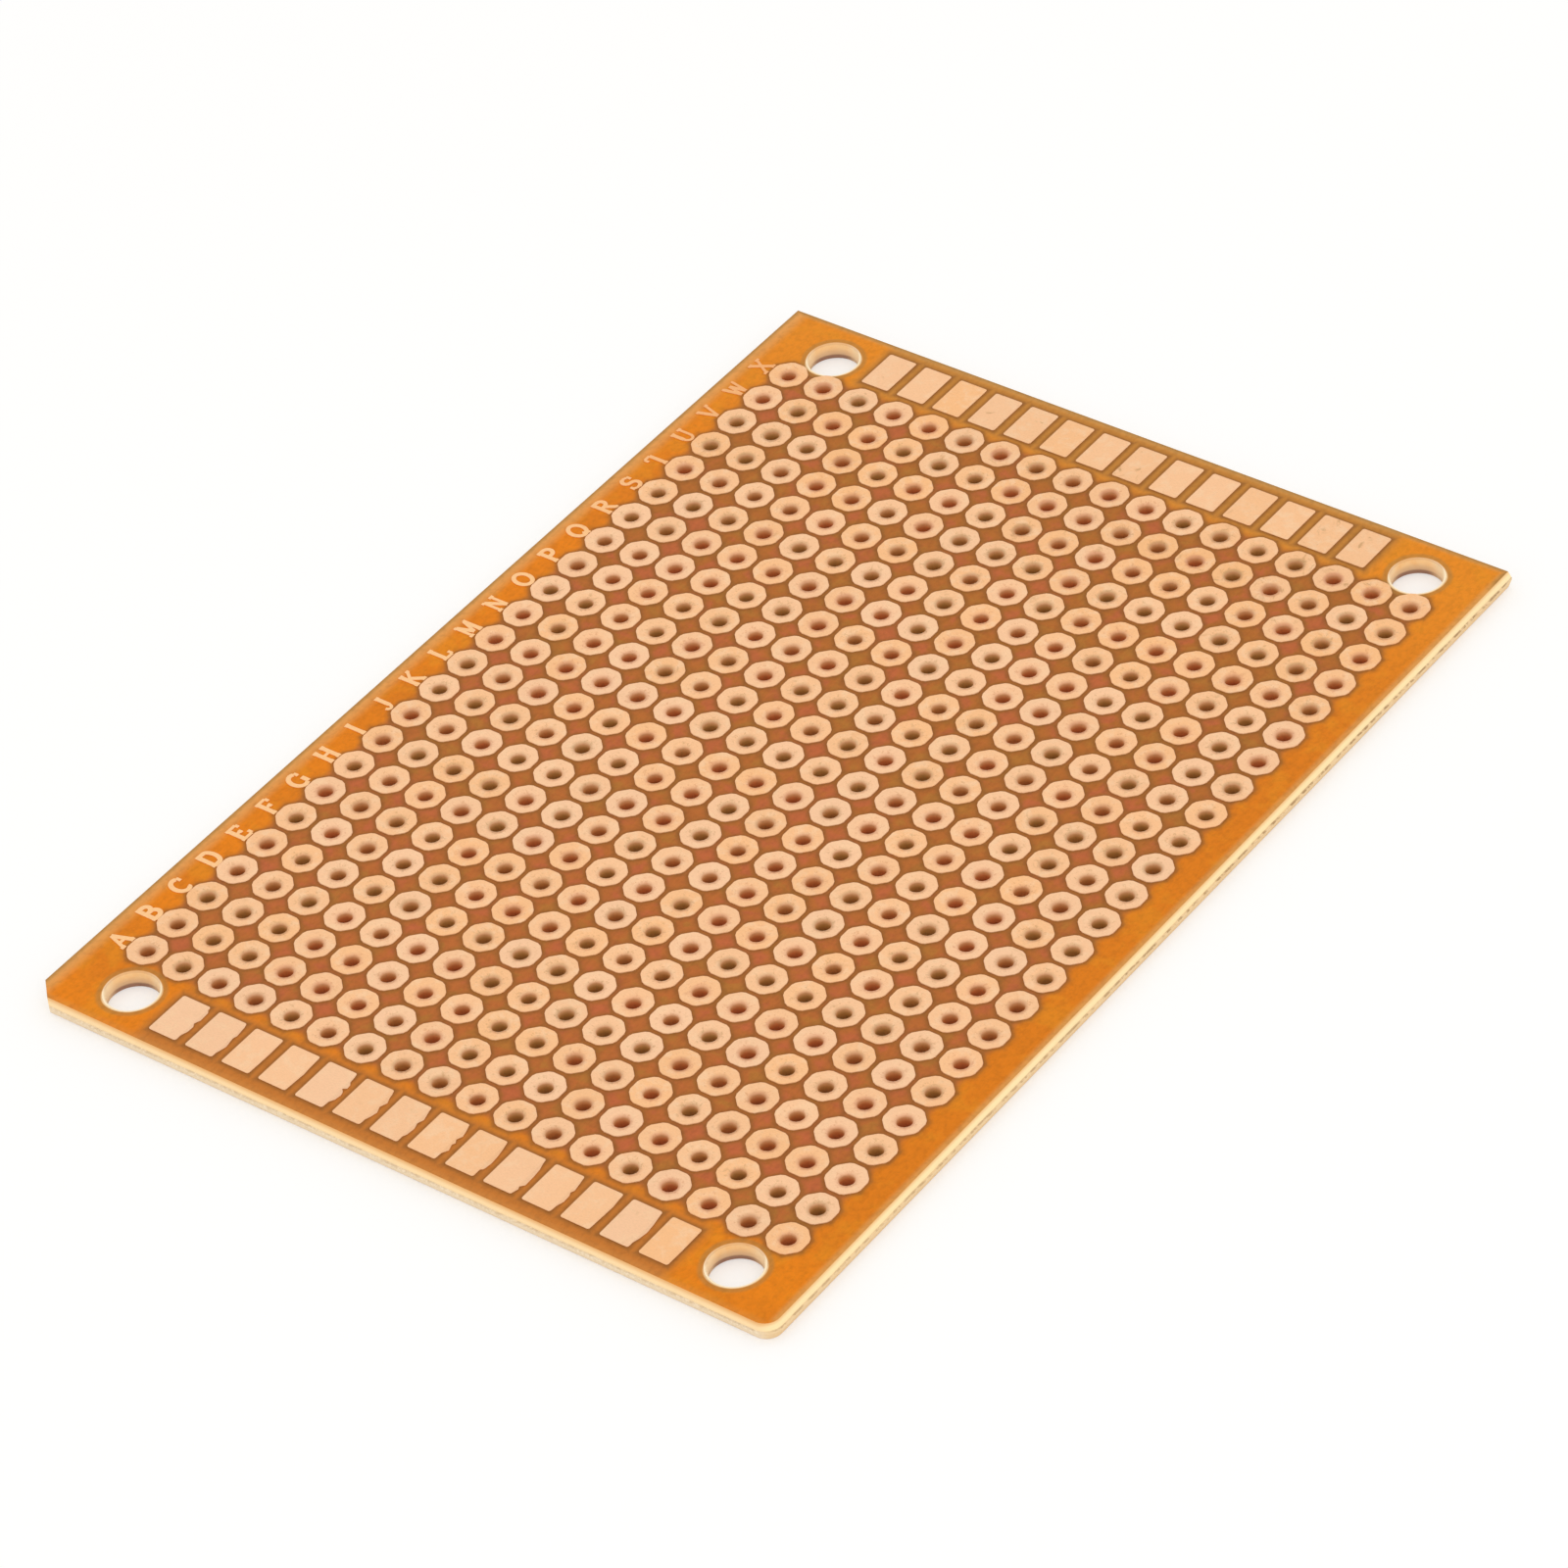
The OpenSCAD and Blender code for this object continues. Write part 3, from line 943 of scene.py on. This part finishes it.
# Heavy strokes, then fine ones, in shares of a letter's width and height
LETTERS = {
    "a": ([[(0.48, 1), (0.88, 0)]],
          [[(0.48, 1), (0.12, 0)], bar(0.25, 0.72, 0.34), serif(0.12), serif(0.88)]),
    "b": ([stem(0.24), bowl(1, 0.53, 0.8), bowl(0.53, 0, 0.9)], [serif(0.22, 0, 0.14)]),
    "c": ([arc(0.54, 0.5, 0.44, 0.5, 60, 300, 14)], [stem(0.86, 0.7, 0.98), bar(0.74, 0.88, 0.1)]),
    "d": ([stem(0.24), bowl(1, 0, 0.94)], [serif(0.22, 0, 0.14)]),
    "e": ([stem(0.26)], [bar(0.08, 0.84, 1), stem(0.85, 0.78, 1), bar(0.26, 0.62, 0.52),
                         stem(0.62, 0.4, 0.64), bar(0.08, 0.88, 0), stem(0.9, 0, 0.26)]),
    "f": ([stem(0.28)], [bar(0.1, 0.86, 1), stem(0.87, 0.76, 1), bar(0.28, 0.64, 0.52),
                         stem(0.64, 0.4, 0.64), serif(0.28)]),
    "g": ([arc(0.52, 0.5, 0.44, 0.5, 60, 300, 14), stem(0.84, 0.06, 0.4)],
          [stem(0.84, 0.72, 0.98), serif(0.84, 0.42, 0.14)]),
    "h": ([stem(0.22), stem(0.8)],
          [bar(0.22, 0.8, 0.52), serif(0.22), serif(0.8), serif(0.22, 1), serif(0.8, 1)]),
    "i": ([stem(0.5)], [serif(0.5), serif(0.5, 1)]),
    "j": ([stem(0.6, 0.22)], [arc(0.4, 0.22, 0.2, 0.22, 0, -170), serif(0.6, 1)]),
    "k": ([stem(0.24), [(0.42, 0.58), (0.88, 0)]],
          [[(0.82, 1), (0.26, 0.4)], serif(0.24), serif(0.24, 1), serif(0.86), serif(0.8, 1, 0.12)]),
    "l": ([stem(0.32)], [serif(0.32, 1), bar(0.14, 0.86, 0), stem(0.87, 0, 0.28)]),
    "m": ([[(0.16, 1), (0.5, 0.1)], stem(0.86)],
          [stem(0.14), [(0.5, 0.1), (0.84, 1)], serif(0.12), serif(0.86),
           serif(0.1, 1, 0.1), serif(0.9, 1, 0.1)]),
    "n": ([[(0.2, 1), (0.82, 0)]],
          [stem(0.2), stem(0.82), serif(0.2), serif(0.12, 1, 0.1), serif(0.82, 1)]),
    "o": ([arc(0.5, 0.5, 0.44, 0.5, 0, 360, 18)], []),
    "p": ([stem(0.28), bowl(1, 0.46, 0.86)], [serif(0.28)]),
    "q": ([arc(0.5, 0.5, 0.44, 0.5, 0, 360, 18)], [[(0.5, 0.2), (0.84, -0.08)]]),
    "r": ([stem(0.24), bowl(1, 0.5, 0.82), [(0.5, 0.5), (0.86, 0)]], [serif(0.24), serif(0.9, 0, 0.1)]),
    "s": ([arc(0.5, 0.76, 0.3, 0.24, 100, 250, 6) + arc(0.48, 0.26, 0.34, 0.26, 80, -90, 8)],
          [arc(0.5, 0.76, 0.3, 0.24, 40, 100, 4), stem(0.8, 0.7, 0.98),
           arc(0.48, 0.26, 0.34, 0.26, -90, -150, 4), stem(0.15, 0.02, 0.3)]),
    "t": ([stem(0.5)], [bar(0.06, 0.5, 1), stem(0.04, 0.74, 1), serif(0.5)]),
    "u": ([stem(0.22, 0.3)],
          [arc(0.51, 0.3, 0.29, 0.3, 180, 360), stem(0.8, 0.3), serif(0.22, 1), serif(0.8, 1)]),
    "v": ([[(0.14, 1), (0.5, 0)]], [[(0.5, 0), (0.86, 1)], serif(0.12, 1, 0.12), serif(0.88, 1, 0.12)]),
    "w": ([[(0.08, 1), (0.3, 0)], [(0.5, 0.9), (0.7, 0)]],
          [[(0.3, 0), (0.5, 0.9)], [(0.7, 0), (0.94, 1)], serif(0.08, 1, 0.1), serif(0.94, 1, 0.08)]),
    "x": ([[(0.16, 1), (0.86, 0)]],
          [[(0.84, 1), (0.14, 0)], serif(0.14), serif(0.86), serif(0.16, 1), serif(0.84, 1)]),
}


def stroke_shapes(stroke, half):
    """Rectangles along a stroke's runs and discs at its turns, as lists of points."""
    runs = [Vector(point) for point in stroke]
    shapes = []
    for start, end in zip(runs, runs[1:]):
        side = (end - start).normalized().orthogonal() * half
        shapes.append([start + side, start - side, end - side, end + side])
    for turn in runs[1:-1]:
        angles = [math.radians(45 * i) for i in range(8)]
        shapes.append([turn + Vector((math.cos(a), math.sin(a))) * half for a in angles])
    return shapes


def letter_shapes(weights, row_y, fullness):
    """A letter's strokes, laid beside their row to be read from the right side."""
    middle_y = row_y + LETTER_SHIFT_Y
    shapes = []
    for strokes, width in zip(weights, (HEAVY_STROKE, FINE_STROKE)):
        for stroke in strokes:
            placed = [(LETTER_TOP_X + (1 - up) * LETTER_H, middle_y + (across - 0.5) * LETTER_W)
                      for across, up in stroke]
            shapes += stroke_shapes(placed, width * fullness / 2)
    return shapes


def foil_letter(name, shapes, foil):
    """A letter of flat foil, with its strokes fused into one outline."""
    points = [point for shape in shapes for point in shape]
    corners, _, patches, _, _, sources = geometry.delaunay_2d_cdt(points, [], numbered(shapes), 1, 1e-5)
    triangles = [patch for patch, source in zip(patches, sources) if source]
    bm = bmesh.new()
    upper = [bm.verts.new((*corner, FOIL_TOP)) for corner in corners]
    lower = [bm.verts.new((*corner, BOARD_T)) for corner in corners]
    for triangle in triangles:
        bm.faces.new([upper[i] for i in triangle])
    rims = [edge for edge in bm.edges if edge.is_boundary]
    bm.verts.index_update()
    for edge in rims:
        first, second = (loop.vert for loop in (edge.link_loops[0], edge.link_loops[0].link_loop_next))
        bm.faces.new((second, first, lower[first.index], lower[second.index]))
    for triangle in triangles:
        bm.faces.new([lower[i] for i in reversed(triangle)])
    loose = [vert for vert in bm.verts if not vert.link_faces]
    bmesh.ops.delete(bm, geom=loose, context="VERTS")
    finished(name, bm, [foil])


def row_letters(foil):
    """One letter of foil beside each row."""
    for number, node in enumerate(ROW_NODES):
        letter = node[-1]
        fullness = FULLNESS - FULLNESS_LOST * number / (ROWS - 1)
        shapes = letter_shapes(LETTERS[letter], GRID_Y + number * PITCH, fullness)
        foil_letter("letter_" + letter, shapes, foil)


def edge_pads(copper):
    """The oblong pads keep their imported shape, nibbled sides and all."""
    for name in EDGE_NODES:
        mesh = frame["nodes"][name].data
        mesh.materials.clear()
        mesh.materials.append(copper)


def floor_material():
    """White paper that keeps the board's shadow, a little lightened for the camera, and clear from below."""
    plan = material_plan("floor_paper")
    paper = plan.node("ShaderNodeBsdfDiffuse", None, {"Color": (0.985, 0.975, 0.955, 1.0)})
    white = plan.node("ShaderNodeEmission", None, {"Color": (1.0, 1.0, 1.0, 1.0), "Strength": 1.0})
    path = plan.node("ShaderNodeLightPath", out="Is Camera Ray")
    seen = path.most(path.beside("Is Glossy Ray")).most(path.beside("Is Transmission Ray"))
    table = plan.node("ShaderNodeMixShader", None, {0: seen * FLOOR_GLOW, 1: paper, 2: white})
    passed = path.beside("Transparent Depth").math("GREATER_THAN", 0.5)
    below = plan.node("ShaderNodeNewGeometry", out="Backfacing").most(passed)
    clear = plan.node("ShaderNodeBsdfTransparent")
    surface = plan.node("ShaderNodeMixShader", None, {0: below, 1: table, 2: clear})
    plan.node("ShaderNodeOutputMaterial", None, {"Surface": surface})
    return bpy.data.materials["floor_paper"]


def aimed(at, target):
    """Places a lamp so that it shines from one point at another."""
    turn = (target - at).to_track_quat("-Z", "Y").to_matrix().to_4x4()
    return Matrix.Translation(at) @ turn


def studio():
    """White table, white tent and one broad lamp."""
    bm = bmesh.new()
    bmesh.ops.create_grid(bm, x_segments=1, y_segments=1, size=FLOOR_HALF)
    floor = mesh_object("floor", bm)
    floor.location.z = -FLOOR_GAP * MM
    floor.data.materials.append(floor_material())
    world = bpy.data.worlds.new("tent")
    bpy.context.scene.world = world
    world.use_nodes = True
    plan = Plan(world.node_tree)
    light = plan.node("ShaderNodeBackground", None, {"Color": (1.0, 1.0, 1.0, 1.0), "Strength": TENT_LIGHT})
    plan.node("ShaderNodeOutputWorld", None, {"Surface": light})
    lamp = bpy.data.lights.new("broad_lamp", "AREA")
    lamp.shape = "DISK"
    lamp.size = LAMP_ACROSS * MM
    lamp.energy = LAMP_WATTS
    put_in_scene("broad_lamp", lamp).matrix_world = aimed(LAMP_AT * MM, Vector((0, 0, 0)))


def photo_camera():
    """The photograph's camera."""
    data = bpy.data.cameras.new("camera")
    data.lens = CAMERA_FOCAL
    data.sensor_width = SENSOR
    data.clip_start = 0.01
    data.clip_end = 20.0
    camera = put_in_scene("camera", data)
    back = CAMERA_RIGHT.cross(CAMERA_UP)
    turn = Matrix((CAMERA_RIGHT, CAMERA_UP, back)).transposed().to_4x4()
    camera.matrix_world = Matrix.Translation(CAMERA_AT * MM) @ turn
    bpy.context.scene.camera = camera


def main():
    photo_camera()
    studio()
    copper = copper_foil()
    laminate_panel([laminate_face(), snapped_edge(), hole_wall(), drilled_wall(), laminate_underside()])
    pad_rows(copper)
    edge_pads(copper)
    row_letters(letter_foil())
    bpy.context.scene.view_settings.view_transform = "Standard"


main()
